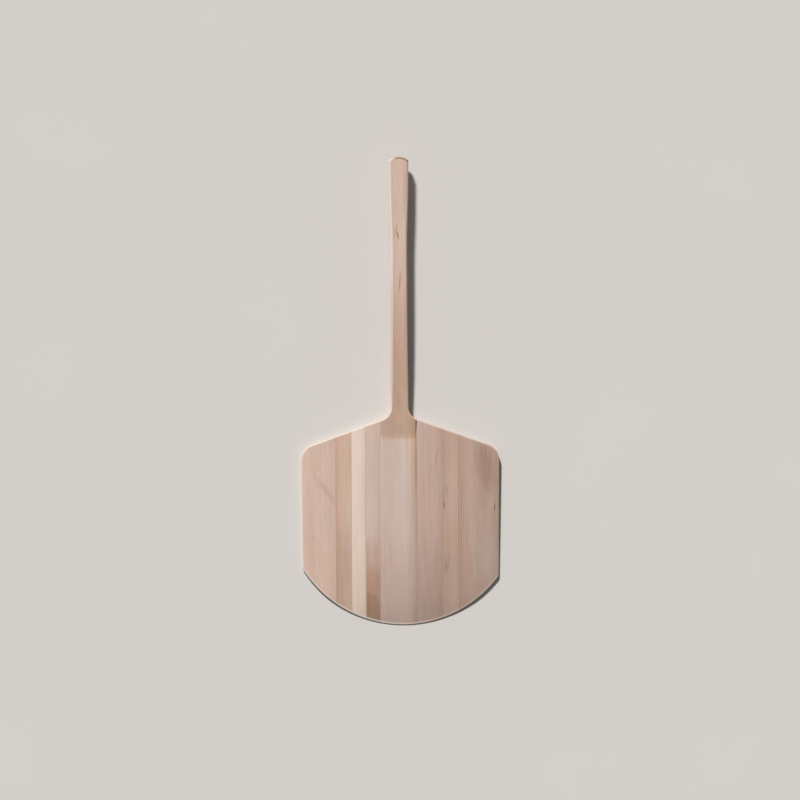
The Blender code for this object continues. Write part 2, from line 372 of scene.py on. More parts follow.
# ---- material nodes -----------------------------------------------------------------------------
class Shading:
    """A material under construction. Its place and facing are the point and the normal being shaded."""

    def __init__(self, name):
        self.material = bpy.data.materials.new(name)
        self.material.use_nodes = True
        self.tree = self.material.node_tree
        self.shader = self.tree.nodes["Principled BSDF"]
        self.place = self.tree.nodes.new("ShaderNodeTexCoord").outputs["Object"]
        self.facing = self.tree.nodes.new("ShaderNodeNewGeometry").outputs["Normal"]

    def feed(self, socket, value):
        if isinstance(value, bpy.types.NodeSocket):
            self.tree.links.new(value, socket)
        elif socket.type == "RGBA" and len(value) == 3:
            socket.default_value = (*value, 1)
        else:
            socket.default_value = value

    def node(self, kind, values, **settings):
        made = self.tree.nodes.new(kind)
        for setting, value in settings.items():
            setattr(made, setting, value)
        for key, value in values.items():
            self.feed(made.inputs[key], value)
        return made

    def math(self, operation, *values, clamp=False):
        made = self.node("ShaderNodeMath", dict(enumerate(values)), operation=operation, use_clamp=clamp)
        return made.outputs[0]

    def split(self, vector):
        return self.node("ShaderNodeSeparateXYZ", {0: vector}).outputs

    def join(self, x, y, z):
        return self.node("ShaderNodeCombineXYZ", {0: x, 1: y, 2: z}).outputs[0]

    def length(self, vector):
        return self.node("ShaderNodeVectorMath", {0: vector}, operation="LENGTH").outputs["Value"]

    def distance(self, vector, point):
        values = {0: vector, 1: point}
        return self.node("ShaderNodeVectorMath", values, operation="DISTANCE").outputs["Value"]

    def stretched(self, vector, along, offset=(0, 0, 0)):
        """Coordinates in which a pattern is drawn out along the grain."""
        values = {"Vector": vector, "Location": offset, "Scale": (1, along, 1)}
        return self.node("ShaderNodeMapping", values).outputs[0]

    def noise(self, vector, scale, detail=2.0, roughness=0.5, colour=False):
        values = {"Vector": vector, "Scale": scale, "Detail": detail, "Roughness": roughness}
        return self.node("ShaderNodeTexNoise", values).outputs["Color" if colour else 0]

    def span(self, value, start, end, low=0.0, high=1.0, smooth=True):
        """Runs from low to high while value runs from start to end."""
        values = {0: value, 1: start, 2: end, 3: low, 4: high}
        kind = "SMOOTHSTEP" if smooth else "LINEAR"
        return self.node("ShaderNodeMapRange", values, interpolation_type=kind).outputs[0]

    def ramp(self, value, stops, interpolation="EASE"):
        made = self.node("ShaderNodeValToRGB", {0: value})
        elements = made.color_ramp.elements
        made.color_ramp.interpolation = interpolation
        elements[0].position, elements[0].color = stops[0][0], (*stops[0][1], 1)
        elements[1].position, elements[1].color = stops[-1][0], (*stops[-1][1], 1)
        for position, colour in stops[1:-1]:
            elements.new(position).color = (*colour, 1)
        return made.outputs[0]

    def mix(self, share, first, second, blend="MIX"):
        values = {0: share, 6: first, 7: second}
        return self.node("ShaderNodeMix", values, data_type="RGBA", blend_type=blend).outputs[2]

    def tint(self, colour, share, multiplier):
        """Multiplies colour by multiplier to the given share."""
        return self.mix(share, colour, multiplier, "MULTIPLY")

    def scaled(self, colour, factor):
        """Colour made lighter or darker by a factor socket."""
        grey = self.join(factor, factor, factor)
        return self.node("ShaderNodeVectorMath", {0: colour, 1: grey}, operation="MULTIPLY").outputs[0]

    def bump(self, height, distance, strength):
        values = {"Height": height, "Distance": distance, "Strength": strength}
        return self.node("ShaderNodeBump", values).outputs[0]


# ---- wood ---------------------------------------------------------------------------------------
MM = 0.001

# Tints that a colour is multiplied by.
DARK_STREAK = (0.42, 0.33, 0.30)
BROWN_FIGURE = (0.86, 0.76, 0.66)
DEEP_BROWN = (0.83, 0.845, 0.79)
PINK_FIGURE = (0.95, 0.87, 0.86)
ROSE_FIGURE = (0.95, 0.85, 0.91)
COOL_FIGURE = (0.92, 0.98, 1.04)
GREY_FIGURE = (0.99, 1.08, 1.14)
TAN_FIGURE = (0.96, 0.89, 0.91)
FINE_LINE = (0.66, 0.60, 0.55)
SMUDGE = (0.78, 0.68, 0.62)
PALE_STREAK = (1.12, 1.14, 1.14)
SANDY_STREAK = (1.00, 0.98, 0.88)
WALNUT_PATCH = (0.80, 0.72, 0.66)
LATE_WOOD = (0.80, 0.72, 0.66)
# Painted shade that darkens the boards towards the front edge.
FRONT_PAINTED_SHADE = (0.67, 0.66, 0.65)
FRONT_END_GRAIN = (0.86, 0.80, 0.74)
BUTT_END_GRAIN = (0.34, 0.28, 0.25)
BUTT_RIM_GRAIN_AND_SHADE = (0.40, 0.36, 0.33)
WARM_RIM = (0.93, 0.80, 0.76)
SHOULDER_DARKENING = (0.76, 0.76, 0.76)
# The pale rim of the rounded edges: wood paled by sanding, with a painted highlight on it.
PALE_RIM_AND_HIGHLIGHT = (0.70, 0.60, 0.52)  # a colour, not a tint


def mark(across, along, half_width, half_length, tint, strength, lean=0.0, core=0.33):
    """A local change of tone: middle and half sizes in mm, lean in degrees, and the share that is core."""
    return {
        "middle": (across * MM, along * MM),
        "half_sizes": (half_width * MM, half_length * MM),
        "tint": tint,
        "strength": strength,
        "lean": math.radians(lean),
        "core": core,
    }


# Each board's wood:
# tones      screen colours across its face, from left to right
# pith       where the tree's pith lay, across and up from the middle of the board's underside, in mm
# leans      how far the pith's axis leans across and up over a metre
# spacing    the distance between rings, in mm
# plainness  how plain the rings are to see
# front_shade how much painted shade darkens it towards the front
# marks      placed in mm from the board's left side and from the tip of the front edge
WOODS = {
    "left_stave_4": dict(
        tones=[
            (0.0, (214, 188, 176)),
            (0.3, (211, 184, 169)),
            (0.6, (210, 182, 168)),
            (1.0, (205, 176, 160)),
        ],
        pith=(8, -46),
        leans=(0.02, -0.055),
        spacing=3.6,
        plainness=0.36,
        front_shade=0.20,
        marks=[
            mark(55, 311, 6.4, 36, SMUDGE, 0.42, lean=36, core=0.1),
            mark(62, 297, 2.4, 14, SMUDGE, 0.20, lean=30),
            mark(33, 338, 1.2, 9.0, SMUDGE, 0.50, lean=3),
            mark(37, 336, 1.4, 12, PALE_STREAK, 0.70, lean=4),
            mark(17, 306, 1.5, 10, SMUDGE, 0.40, lean=-6),
            mark(30, 372, 12, 22, SANDY_STREAK, 0.70, lean=8),
            mark(28, 165, 5.2, 46, SANDY_STREAK, 0.80, lean=-2),
            mark(46, 140, 2.2, 38, PALE_STREAK, 0.25),
            mark(14, 215, 18, 76, SMUDGE, 0.16),
        ],
    ),
    "left_stave_3": dict(
        tones=[
            (0.0, (197, 166, 146)),
            (0.3, (204, 175, 156)),
            (0.7, (206, 179, 160)),
            (1.0, (206, 182, 165)),
        ],
        pith=(95, -30),
        leans=(0.012, 0.01),
        spacing=2.9,
        plainness=0.7,
        front_shade=0.60,
        marks=[
            mark(2.5, 240, 0.45, 195, FINE_LINE, 0.55),
            mark(24.4, 330, 0.38, 68, FINE_LINE, 0.45),
            mark(31.0, 350, 0.38, 60, FINE_LINE, 0.45),
            mark(33.6, 385, 1.3, 46, FINE_LINE, 0.36),
            mark(28, 152, 9, 72, TAN_FIGURE, 1.0, core=0.6),
            mark(12, 130, 12, 90, SMUDGE, 0.30),
            mark(7, 200, 3.0, 45, SMUDGE, 0.25, lean=2),
        ],
    ),
    "left_stave_2": dict(
        tones=[
            (0.0, (226, 206, 193)),
            (0.5, (224, 205, 193)),
            (0.85, (221, 202, 189)),
            (1.0, (215, 196, 183)),
        ],
        pith=(-120, -25),
        leans=(0.01, 0.0),
        spacing=3.4,
        plainness=0.3,
        front_shade=0.58,
        marks=[
            mark(12, 100, 0.38, 68, FINE_LINE, 0.35),
            mark(17, 80, 0.38, 60, FINE_LINE, 0.35),
            mark(22, 120, 0.38, 45, FINE_LINE, 0.25),
        ],
    ),
    "left_stave_1": dict(
        tones=[(0.0, (206, 185, 172)), (0.5, (205, 183, 170)), (1.0, (200, 178, 166))],
        pith=(110, -40),
        leans=(-0.012, 0.01),
        spacing=3.8,
        plainness=0.4,
        front_shade=0.90,
        marks=[
            mark(16, 0, 90, 190, PINK_FIGURE, 0.95, core=0.88),
            mark(12, 0, 110, 128, BROWN_FIGURE, 1.0, core=0.80),
            mark(8, 0, 38, 77, DEEP_BROWN, 0.95, core=0.92, lean=8),
            mark(2.5, 158, 4.5, 30, SMUDGE, 0.26),
            mark(14, 106, 3.8, 9.8, PALE_STREAK, 0.60, lean=-8),
            mark(22, 64, 1.4, 4.5, DARK_STREAK, 0.45, lean=6),
            mark(6, 46, 2.2, 16, SMUDGE, 0.40),
            mark(31.4, 86, 2.6, 76, PALE_STREAK, 0.80),
            mark(22, 165, 1.8, 20, SMUDGE, 0.35, lean=3),
        ],
    ),
    "handle_board": dict(
        tones=[
            (0.0, (207, 183, 171)),
            (0.22, (203, 180, 168)),
            (0.45, (203, 182, 169)),
            (0.66, (207, 187, 175)),
            (0.80, (205, 181, 168)),
            (0.90, (196, 171, 153)),
            (1.0, (185, 159, 139)),
        ],
        pith=(-6, -70),
        leans=(0.008, 0.03),
        spacing=4.4,
        plainness=0.42,
        front_shade=1.00,
        marks=[
            mark(42.8, 889, 1.4, 9.0, DARK_STREAK, 1.0, lean=14, core=0.5),
            mark(40.2, 906, 0.75, 9.0, DARK_STREAK, 0.65, lean=-8),
            mark(36.0, 893, 2.0, 12, SMUDGE, 0.55, lean=4),
            mark(47.8, 783, 0.9, 22, DARK_STREAK, 0.90, lean=-3),
            mark(46.6, 935, 0.68, 16, SMUDGE, 0.60, lean=4),
            mark(37, 1012, 2.0, 22, PALE_STREAK, 0.60, lean=4),
            mark(59.5, 1000, 4.0, 66, ROSE_FIGURE, 0.90),
            mark(82.2, 372, 2.3, 66, DARK_STREAK, 0.40),
            mark(68, 190, 15, 105, COOL_FIGURE, 0.85, core=0.2),
            mark(30, 300, 5.0, 34, SMUDGE, 0.12, lean=3),
            mark(56, 205, 6.0, 26, PALE_STREAK, 0.25, lean=-4),
            mark(22, 168, 4.0, 30, SMUDGE, 0.14, lean=4),
            mark(44, 118, 5.0, 24, PINK_FIGURE, 0.35, lean=-3),
        ],
    ),
    "right_stave_1": dict(
        tones=[
            (0.0, (197, 171, 158)),
            (0.4, (194, 168, 156)),
            (0.8, (191, 165, 152)),
            (1.0, (184, 157, 142)),
        ],
        pith=(-14, -60),
        leans=(-0.01, 0.025),
        spacing=3.9,
        plainness=0.38,
        front_shade=1.25,
        marks=[
            mark(28.6, 276, 1.4, 1.4, DARK_STREAK, 0.80),
            mark(0.3, 368, 0.9, 54, DARK_STREAK, 0.50, core=0.5),
            mark(0.8, 322, 2.3, 118, FINE_LINE, 0.28),
            mark(40, 255, 5.0, 24, PALE_STREAK, 0.22, lean=-5),
            mark(14, 222, 3.6, 22, SMUDGE, 0.08, lean=4),
            mark(44, 150, 5.0, 30, SMUDGE, 0.20, lean=-6),
            mark(17, 318, 1.8, 16, SMUDGE, 0.30, lean=-4),
            mark(58.4, 300, 0.68, 98, SANDY_STREAK, 0.80),
            mark(46, 380, 2.2, 20, SMUDGE, 0.50, lean=-8),
            mark(30, 330, 6.8, 38, SMUDGE, 0.15),
            mark(20, 170, 4.5, 45, PINK_FIGURE, 0.45, lean=3),
        ],
    ),
    "right_stave_2": dict(
        tones=[
            (0.0, (184, 156, 140)),
            (0.3, (187, 159, 144)),
            (0.7, (191, 164, 149)),
            (1.0, (189, 161, 146)),
        ],
        pith=(85, -40),
        leans=(0.015, 0.012),
        spacing=3.0,
        plainness=0.6,
        front_shade=0.75,
        marks=[
            mark(3.6, 272, 1.2, 10, DARK_STREAK, 0.95, lean=2),
            mark(3.2, 296, 1.3, 17, SMUDGE, 0.75),
            mark(2.6, 380, 0.68, 52, FINE_LINE, 0.60),
            mark(9.5, 308, 2.7, 10, SMUDGE, 0.50, lean=4),
            mark(7.5, 134, 3.4, 14, SMUDGE, 0.60, lean=2),
            mark(14, 148, 1.7, 16, SMUDGE, 0.50, lean=-6),
            mark(12, 180, 6.8, 52, SANDY_STREAK, 0.70),
            mark(9, 372, 0.52, 45, FINE_LINE, 0.35),
            mark(19, 372, 0.60, 38, FINE_LINE, 0.30),
        ],
    ),
    "right_stave_3": dict(
        tones=[(0.0, (183, 155, 139)), (0.4, (185, 158, 144)), (1.0, (190, 163, 149))],
        pith=(120, -50),
        leans=(0.006, 0.0),
        spacing=2.8,
        plainness=0.6,
        front_shade=0.90,
        marks=[
            mark(0.6, 250, 0.60, 158, FINE_LINE, 0.95, core=0.67),
            mark(3.1, 250, 1.1, 132, PALE_STREAK, 0.50),
            mark(5.7, 235, 0.68, 142, FINE_LINE, 0.90),
            mark(10.2, 240, 0.60, 128, FINE_LINE, 0.60),
            mark(26, 150, 1.8, 45, PINK_FIGURE, 0.70),
            mark(22, 300, 4.0, 26, PALE_STREAK, 0.25),
            mark(18, 205, 3.0, 22, SMUDGE, 0.20),
            mark(30, 355, 2.0, 24, SMUDGE, 0.22),
        ],
    ),
    "right_stave_4": dict(
        tones=[
            (0.0, (183, 156, 143)),
            (0.3, (180, 153, 140)),
            (0.7, (178, 151, 138)),
            (1.0, (167, 141, 127)),
        ],
        pith=(-5, -52),
        leans=(-0.03, 0.05),
        spacing=3.4,
        plainness=0.45,
        front_shade=0.74,
        marks=[
            mark(48.4, 269, 1.1, 9.0, DARK_STREAK, 1.0, core=0.60),
            mark(45.2, 270, 0.75, 10, PALE_STREAK, 0.80),
            mark(30, 358, 18, 48, WALNUT_PATCH, 0.84, lean=8),
            mark(19, 392, 1.8, 18, SMUDGE, 0.60, lean=4),
            mark(27, 385, 1.5, 16, SMUDGE, 0.45, lean=6),
            mark(31, 318, 1.5, 22, SMUDGE, 0.35, lean=24),
            mark(11, 252, 1.8, 20, PALE_STREAK, 0.45, lean=4),
            mark(32, 150, 34, 62, GREY_FIGURE, 1.0, core=0.5),
            mark(2.0, 200, 0.75, 112, PALE_STREAK, 0.50),
            mark(6, 110, 0.45, 75, FINE_LINE, 0.40),
            mark(10, 140, 0.45, 75, FINE_LINE, 0.30),
        ],
    ),
}
# Tints of the middle board past the ramp's foot, by distance from the front: darker and browner along the
# ramp and the lower handle, fading towards the butt.
HANDLE_TINTS = [
    (0.424, (0.97, 0.86, 0.75)),
    (0.560, (0.90, 0.78, 0.68)),
    (0.620, (0.88, 0.74, 0.64)),
    (0.700, (0.88, 0.78, 0.71)),
    (0.760, (0.93, 0.84, 0.80)),
    (0.820, (0.95, 0.90, 0.88)),
    (0.900, (0.98, 0.94, 0.91)),
    (1.070, (1.00, 0.94, 0.90)),
]
# The foot curls up the ramp's left side for a little, its line is soft, and its tint is fainter there.
FOOT_CURL = 0.009
FOOT_CURL_WIDTH = 0.009
FOOT_SOFTNESS = (-0.0020, 0.0032)
FOOT_FAINTNESS = 0.55
FOOT_FAINT_WIDTH = 0.030

# The patterns that all the woods are built from: how far each is drawn out along the grain (less is
# longer), and its scale, detail and roughness.
PATTERNS = {
    "drift": (0.10, 14, 3, 0.5),
    "mottle": (0.28, 22, 3, 0.5),
    "patches": (0.40, 16, 2, 0.5),
    "streaks": (0.020, 210, 4, 0.62),
    "fibres": (0.022, 1100, 3, 0.6),
    "pores": (0.085, 1500, 1, 0.4),
    "fraying": (0.12, 240, 3, 0.6),
    "ring_wander": (0.16, 11, 3, 0.45),
}
NOISE_SPREAD = (0.30, 0.70)  # nearly all of a noise's values lie between these, round a half
BOARD_SHIFT = (1.37, 2.11, 0.73)  # how far each board's patterns are from the one before
STREAK_SHADES = (0.945, 1.045)
FIBRE_SHADES = (0.96, 1.04)
PATCH_SHADES = (0.97, 1.03)
RIM_SHADES = (0.93, 1.07)
MOTTLE_TINTS = [(1.03, 0.985, 0.965), (0.975, 1.005, 1.02)]
PORE_EDGES = (0.66, 0.74)  # the pores are the pattern's peaks
PORE_DARKNESS = 0.30
TONE_DRIFT = 0.012  # how far the tones across a board wander sideways
FRAYING = (0.0016, 0.010, 0.0)  # how far the edges of a mark wander across and along
# How the painted shade towards the front wavers, where it runs and how fast it falls.
FRONT_SHADE_DRIFT = 0.05
FRONT_SHADE_STRETCH = (0.025, 0.385)
FRONT_SHADE_FALL = 2.0

RING_CONTRAST = 0.34
RING_WANDER = 0.020
RING_UNEVENNESS = 1.6  # in rings
UNEVENNESS_SCALE = 0.6
LATE_WOOD_RISE = (0.25, 0.90)  # the shares of a ring over which it darkens and pales again
LATE_WOOD_FALL = (0.93, 1.0)

WOOD_SPECULAR = 0.32
WOOD_ROUGHNESS = (0.66, 0.54)
PORE_ROUGHNESS = 0.10
RING_RELIEF = -0.25
PORE_RELIEF = -0.45
STREAK_RELIEF = 0.5
RELIEF_DEPTH = 0.00018
RELIEF_STRENGTH = 0.55


def pattern(wood, grain, name, colour=False):
    drawn_out, *settings = PATTERNS[name]
    return wood.noise(wood.stretched(grain, drawn_out), *settings, colour=colour)


def varied(wood, colour, noise, shades):
    """Colour made darker and lighter by a noise."""
    return wood.scaled(colour, wood.span(noise, *NOISE_SPREAD, *shades, smooth=False))


def over(wood, y, front, stretch, low=0.0, high=1.0, smooth=True):
    """Runs from low to high over a stretch of the peel, counted from the front tip."""
    return wood.span(y, front + stretch[0], front + stretch[1], low, high, smooth)


def growth_rings(wood, look, middle, offset):
    """Rings round the pith's axis, as 0 in early wood to 1 in the thin late wood."""
    x, y, z = wood.split(wood.place)
    drawn_out, *settings = PATTERNS["ring_wander"]
    wander = wood.noise(wood.stretched(wood.place, drawn_out, offset), *settings, colour=True)
    shift_x, _, shift_z = wood.split(wander)
    across, up = look["pith"]
    lean_x, lean_z = look["leans"]
    axis_x = wood.math("MULTIPLY_ADD", y, lean_x, middle + across * MM)
    axis_z = wood.math("MULTIPLY_ADD", y, lean_z, up * MM)
    far_x = wood.math("SUBTRACT", wood.math("MULTIPLY_ADD", shift_x, RING_WANDER, x), axis_x)
    far_z = wood.math("SUBTRACT", wood.math("MULTIPLY_ADD", shift_z, RING_WANDER, z), axis_z)
    turns = wood.math("DIVIDE", wood.length(wood.join(far_x, 0.0, far_z)), look["spacing"] * MM)
    uneven = wood.noise(wood.join(turns, 0.0, 0.0), UNEVENNESS_SCALE, 1)
    share = wood.math("FRACT", wood.math("MULTIPLY_ADD", uneven, RING_UNEVENNESS, turns))
    rise = wood.span(share, *LATE_WOOD_RISE)
    return wood.math("MULTIPLY", rise, wood.span(share, *LATE_WOOD_FALL, 1.0, 0.0))


def marked(wood, colour, grain, marks, left, front):
    """Colour with a board's own marks, whose edges are frayed along the grain."""
    ragged = pattern(wood, grain, "fraying", colour=True)
    terms = {0: ragged, 1: FRAYING, 2: wood.place}
    frayed = wood.node("ShaderNodeVectorMath", terms, operation="MULTIPLY_ADD").outputs[0]
    for spot in marks:
        across, along = spot["middle"]
        values = {
            "Vector": frayed,
            "Location": (left + across + FRAYING[0] / 2, front + along + FRAYING[1] / 2, 0),
            "Rotation": (0, 0, spot["lean"]),
            "Scale": (*spot["half_sizes"], 1),
        }
        near = wood.length(wood.node("ShaderNodeMapping", values, vector_type="TEXTURE").outputs[0])
        share = wood.span(near, spot["core"], 2.0 - spot["core"], spot["strength"], 0.0)
        colour = wood.tint(colour, share, spot["tint"])
    return colour


def shaded_to_front(wood, colour, mottle, amount, front):
    """Colour darkened towards the front edge by painted shade."""
    _, y, _ = wood.split(wood.place)
    wavering = wood.math("MULTIPLY_ADD", mottle, FRONT_SHADE_DRIFT, y)
    nearness = over(wood, wavering, front, FRONT_SHADE_STRETCH, 1.0, 0.0, smooth=False)
    front_shade = wood.math("MULTIPLY", wood.math("POWER", nearness, FRONT_SHADE_FALL), amount, clamp=True)
    return wood.tint(colour, front_shade, FRONT_PAINTED_SHADE)


def handle_tinted(wood, colour, left, front):
    """Colour with the tints of the ramp and the grip, from the ramp's foot on."""
    x, y, _ = wood.split(wood.place)
    length = HANDLE_TINTS[-1][0]
    share = wood.span(y, front, front + length, smooth=False)
    stops = [(at / length, tint) for at, tint in HANDLE_TINTS]
    curl = wood.span(x, left, left + FOOT_CURL_WIDTH, FOOT_CURL, 0.0)
    beyond = wood.math("SUBTRACT", y, curl)
    past_foot = wood.span(beyond, *(front + RAMP_FOOT + edge for edge in FOOT_SOFTNESS))
    fading = wood.span(x, left, left + FOOT_FAINT_WIDTH, FOOT_FAINTNESS, 1.0)
    on_ramp = wood.math("MULTIPLY", past_foot, fading)
    return wood.tint(colour, on_ramp, wood.ramp(share, stops, "LINEAR"))


def board_material(name, box, front, number):
    look = WOODS[name]
    (left, _, _), (right, _, _) = box
    wood = Shading(f"{name}_wood")
    offset = tuple(number * shift for shift in BOARD_SHIFT)
    grain = wood.stretched(wood.place, 1.0, offset)
    x, _, _ = wood.split(wood.place)
    kinds = ("drift", "streaks", "fibres", "mottle", "patches")
    drift, streaks, fibres, mottle, patches = (pattern(wood, grain, kind) for kind in kinds)
    pores = wood.span(pattern(wood, grain, "pores"), *PORE_EDGES)
    rings = growth_rings(wood, look, (left + right) / 2, offset)

    wandering = wood.math("MULTIPLY_ADD", drift, TONE_DRIFT, x)
    across = wood.span(wandering, left + TONE_DRIFT / 2, right + TONE_DRIFT / 2, smooth=False)
    colour = wood.ramp(across, [(share, srgb(*tone)) for share, tone in look["tones"]])
    colour = wood.tint(colour, wood.math("MULTIPLY", rings, look["plainness"] * RING_CONTRAST), LATE_WOOD)
    colour = varied(wood, colour, streaks, STREAK_SHADES)
    colour = varied(wood, colour, fibres, FIBRE_SHADES)
    colour = varied(wood, colour, patches, PATCH_SHADES)
    warmth = list(zip(NOISE_SPREAD, MOTTLE_TINTS))
    colour = wood.tint(colour, 1.0, wood.ramp(mottle, warmth, "LINEAR"))
    colour = wood.tint(colour, wood.math("MULTIPLY", pores, PORE_DARKNESS), FINE_LINE)
    colour = marked(wood, colour, grain, look["marks"], left, front)
    # Painted shade towards the front edge.
    colour = shaded_to_front(wood, colour, mottle, look["front_shade"], front)
    if name == "handle_board":
        colour = handle_tinted(wood, colour, left, front)
    # Pale rims: sanding with a painted highlight, stronger on the left where the light falls.
    colour = pale_highlit_rims(wood, name, front, colour, fibres)
    colour = end_grain_and_shoulders(wood, front, colour)
    # The butt's dark rim: darker end grain, with painted shade on its right.
    if name == "handle_board":
        colour = butt_rim_grain_and_shade(wood, box[1].y, front, colour, fibres)

    wood.feed(wood.shader.inputs["Base Color"], colour)
    wood.shader.inputs["Specular IOR Level"].default_value = WOOD_SPECULAR
    polish = wood.span(streaks, *NOISE_SPREAD, *WOOD_ROUGHNESS, smooth=False)
    wood.feed(wood.shader.inputs["Roughness"], wood.math("MULTIPLY_ADD", pores, PORE_ROUGHNESS, polish))
    relief = wood.math("MULTIPLY_ADD", rings, RING_RELIEF, fibres)
    relief = wood.math("MULTIPLY_ADD", pores, PORE_RELIEF, relief)
    relief = wood.math("MULTIPLY_ADD", streaks, STREAK_RELIEF, relief)
    wood.feed(wood.shader.inputs["Normal"], wood.bump(relief, RELIEF_DEPTH, RELIEF_STRENGTH))
    return wood.material


# ---- worn edges and painted highlights ----------------------------------------------------------
ROUNDED_FACING = (0.90, 0.985)  # a surface that faces up or down by less than this is a rounded edge
WALL_FACING = (0.05, 0.45)  # and by less than this it is a wall, which gets less of the pale rim
WALL_SHARE = 0.30
RIGHT_SHARE = 0.45  # the right side, away from the light, gets less of the pale rim and its painted highlight than the left
SIDE_CHANGE = (-0.03, 0.03)  # where the left side's brighter rim passes into the right's
NECK_START = (0.455, 0.470)  # the handle board's own edges are rounded from here on

FRONT_RIM = 0.0040  # how far the pale front rim, partly sanding and partly painted highlight, reaches in from the edge
FRONT_RIM_SOFTNESS = (-0.0004, 0.0008)
FRONT_RIM_END = (0.14, 0.16)
# The front rim's painted highlight is stronger on the left, where the light falls, than on the right.
FRONT_RIM_ACROSS = (-0.12, 0.08)
FRONT_RIM_SHARES = (0.85, 0.45)
RIM_RAGGEDNESS = 0.0008

WARM_START = (0.50, 0.53)  # the handle's left rim is warmer between these
WARM_END = (0.765, 0.795)
WARM_SIDE_CHANGE = (-0.01, 0.01)

SHOULDER_FACING = (0.10, 0.45)
HANDLE_END = (0.9, 1.0)
FRONT_FACING = (-0.95, -0.55)
BUTT_FACING = (0.45, 0.85)
BUTT_START = (1.04, 1.055)

DARK_RIM_WIDTH = 0.0046  # how far the dark rim of the butt reaches in from its edge
DARK_RIM_SOFTNESS = (0.0, 0.0012)
# The dark rim fades in across these, so that it stays to the right, away from the light: painted shade.
DARK_RIM_ACROSS = (-0.014, -0.004)


def beyond_circle(wood, centre, radius, softness, fibres):
    """1 outside a circle in the plan and 0 inside it, with a ragged change between."""
    x, y, _ = wood.split(wood.place)
    away = wood.distance(wood.join(x, y, 0.0), centre)
    ragged = wood.math("MULTIPLY_ADD", fibres, RIM_RAGGEDNESS, away)
    return wood.span(ragged, radius + softness[0], radius + softness[1])


def pale_highlit_rims(wood, name, front, colour, fibres):
    """The rounded edges and the front rim are paler than the faces: partly wood paled by sanding, partly a
    painted highlight that is stronger on the left, where the light falls.
    """
    x, y, _ = wood.split(wood.place)
    _, _, facing_z = wood.split(wood.facing)
    upright = wood.math("ABSOLUTE", facing_z)
    rounded = wood.span(upright, *ROUNDED_FACING, 1.0, 0.0)
    rounded = wood.math("MULTIPLY", rounded, wood.span(upright, *WALL_FACING, WALL_SHARE, 1.0))
    if name == "handle_board":
        rounded = wood.math("MULTIPLY", rounded, over(wood, y, front, NECK_START))
    rounded = wood.math("MULTIPLY", rounded, wood.span(x, *SIDE_CHANGE, 1.0, RIGHT_SHARE))

    centre = (FRONT_CROWN_OFFSET, front + FRONT_CROWN_RADIUS, 0)
    inner = FRONT_CROWN_RADIUS - FRONT_RIM
    band = beyond_circle(wood, centre, inner, FRONT_RIM_SOFTNESS, fibres)
    band = wood.math("MULTIPLY", band, over(wood, y, front, FRONT_RIM_END, 1.0, 0.0))
    band = wood.math("MULTIPLY", band, wood.span(x, *FRONT_RIM_ACROSS, *FRONT_RIM_SHARES))

    rim = varied(wood, PALE_RIM_AND_HIGHLIGHT, fibres, RIM_SHADES)
    warm = wood.math("MULTIPLY", over(wood, y, front, WARM_START), over(wood, y, front, WARM_END, 1.0, 0.0))
    rim = wood.tint(rim, wood.math("MULTIPLY", warm, wood.span(x, *WARM_SIDE_CHANGE, 1.0, 0.0)), WARM_RIM)
    return wood.mix(wood.math("MAXIMUM", rounded, band), colour, rim)


def end_grain_and_shoulders(wood, front, colour):
    """The shoulders' edges that face the handle are made darker, and the front edge and the butt show the
    ends of the grain, which are darker.
    """
    _, y, _ = wood.split(wood.place)
    _, facing_y, _ = wood.split(wood.facing)
    short_of_butt = over(wood, y, front, HANDLE_END, 1.0, 0.0)
    shoulder = wood.math("MULTIPLY", wood.span(facing_y, *SHOULDER_FACING), short_of_butt)
    colour = wood.tint(colour, shoulder, SHOULDER_DARKENING)
    colour = wood.tint(colour, wood.span(facing_y, *FRONT_FACING, 1.0, 0.0), FRONT_END_GRAIN)
    butt = wood.math("MULTIPLY", wood.span(facing_y, *BUTT_FACING), over(wood, y, front, BUTT_START))
    return wood.tint(colour, butt, BUTT_END_GRAIN)


def butt_rim_grain_and_shade(wood, back, front, colour, fibres):
    """A dark rim round the butt's top, but not on its end face or its left corner: darker end grain, with
    painted shade on its right, away from the light.
    """
    x, y, _ = wood.split(wood.place)
    _, facing_y, _ = wood.split(wood.facing)
    centre = (0, back - BUTT_CROWN_RADIUS, 0)
    inner = BUTT_CROWN_RADIUS - DARK_RIM_WIDTH
    dark = beyond_circle(wood, centre, inner, DARK_RIM_SOFTNESS, fibres)
    dark = wood.math("MULTIPLY", dark, over(wood, y, front, BUTT_START))
    dark = wood.math("MULTIPLY", dark, wood.span(x, *DARK_RIM_ACROSS))
    dark = wood.math("MULTIPLY", dark, wood.span(facing_y, *BUTT_FACING, 1.0, 0.0))
    return wood.tint(colour, dark, BUTT_RIM_GRAIN_AND_SHADE)


# ---- glue and floor -----------------------------------------------------------------------------
GLUE_TONES = [srgb(140, 113, 90), srgb(180, 152, 125)]
GLUE_DRAWN_OUT = 0.2
GLUE_LUMPS = (900, 3, 0.6)
GLUE_ROUGHNESS = (0.42, 0.60)
GLUE_RELIEF_DEPTH = 0.00006
GLUE_RELIEF_STRENGTH = 0.6

FLOOR_TONES = [srgb(207, 203, 199), srgb(209, 205, 201)]
FLOOR_CLOUD = (3, 4, 0.5)
FLOOR_ROUGHNESS = (0.9, 1.0)


